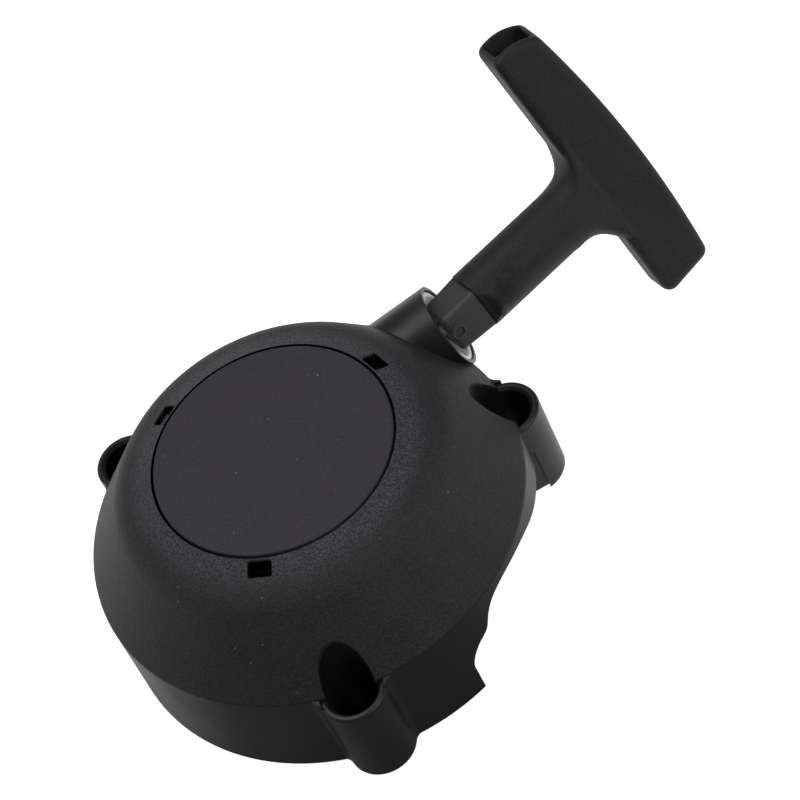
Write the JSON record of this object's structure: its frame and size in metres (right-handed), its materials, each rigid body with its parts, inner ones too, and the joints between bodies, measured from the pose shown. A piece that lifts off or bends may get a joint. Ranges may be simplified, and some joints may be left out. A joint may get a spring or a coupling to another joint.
{
  "type": "recoil starter",
  "caption": "Domed pull-rope rewind starter: moulded cover with screw bosses and angled rope outlet, T-grip on a rope, sprung pulley and swinging pawls inside.",
  "frame": {"origin": "centre of the flat rear face that bolts to the engine", "axes": "+Z along the pulley's axis, out of the domed cap; +X along the rope outlet's horizontal direction"},
  "size_m": [0.2048, 0.1603, 0.0963],
  "materials": {
    "housing_black": "spark-textured dome, satin skirt",
    "cap_black": "fine matte",
    "nylon_white": "natural white nylon",
    "steel_post": "turned steel",
    "inner_black": "moulded, matte",
    "inner_grey": "moulded, matte",
    "zinc_screw": "zinc plated",
    "spring_steel": "blued spring strip",
    "rotor_nylon": "glass-filled nylon",
    "rope": "braided nylon",
    "pawl_nylon": "natural glass-filled nylon",
    "spring_wire": "spring wire",
    "steel_plate": "stamped steel",
    "nose_black": "satin",
    "handle_black": "satin with fine scuffs"
  },
  "bodies": {
    "housing": {"starter_housing": "housing_black", "centre_cap": "cap_black", "rope_eyelet": "nylon_white", "starter_post": "steel_post", "spring_case": "inner_black", "case_cover": "inner_grey", "case_screws": "zinc_screw", "recoil_spring": "spring_steel", "thrust_washer": "steel_plate", "retaining_clip": "steel_plate", "rope_lead": "rope"},
    "rotor": {"rope_rotor": "rotor_nylon", "rope_coil": "rope", "rotor_knot": "rope"},
    "pawl_a": {"pawl_a": "pawl_nylon"},
    "pawl_b": {"pawl_b": "pawl_nylon"},
    "clip": {"pawl_clip": "spring_wire"},
    "rope_end": {"rope_run": "rope", "handle_knot": "rope", "spring_plunger": "rotor_nylon"},
    "handle": {"pull_handle": "handle_black", "handle_nose": "nose_black", "damper_spring": "spring_wire"}
  },
  "joints": [
    {"name": "rope_pull", "type": "slide", "parent": "housing", "child": "rope_end", "axis": [0.9373, 0.3356, 0.0941], "range_m": [0, 0.8]},
    {"name": "rotor_spin", "type": "hinge", "parent": "housing", "child": "rotor", "pos_m": [0, 0, 0.0343], "axis": [0, 0, 1], "range_deg": [-1725, 0]},
    {"name": "handle_damper", "type": "slide", "parent": "rope_end", "child": "handle", "axis": [0.9373, 0.3356, 0.0941], "range_m": [0, 0.009], "stiffness_N_per_m": 4000, "deforming": ["damper_spring"]},
    {"name": "pawl_a_swing", "type": "hinge", "parent": "rotor", "child": "pawl_a", "pos_m": [0.016, 0, 0.0248], "axis": [0, 0, 1], "range_deg": [0, 28]},
    {"name": "pawl_b_swing", "type": "hinge", "parent": "rotor", "child": "pawl_b", "pos_m": [-0.016, 0, 0.0248], "axis": [0, 0, 1], "range_deg": [0, 28]},
    {"name": "clip_lag", "type": "hinge", "parent": "rotor", "child": "clip", "pos_m": [0, 0, 0.021], "axis": [0, 0, 1], "range_deg": [0, 7.66]}
  ],
  "couplings": [
    {"joint": "rotor_spin", "follows": "rope_pull", "rad_per_m": -37.594},
    {"joint": "pawl_b_swing", "follows": "pawl_a_swing", "ratio": 1},
    {"joint": "clip_lag", "follows": "pawl_a_swing", "ratio": 0.27183}
  ]
}
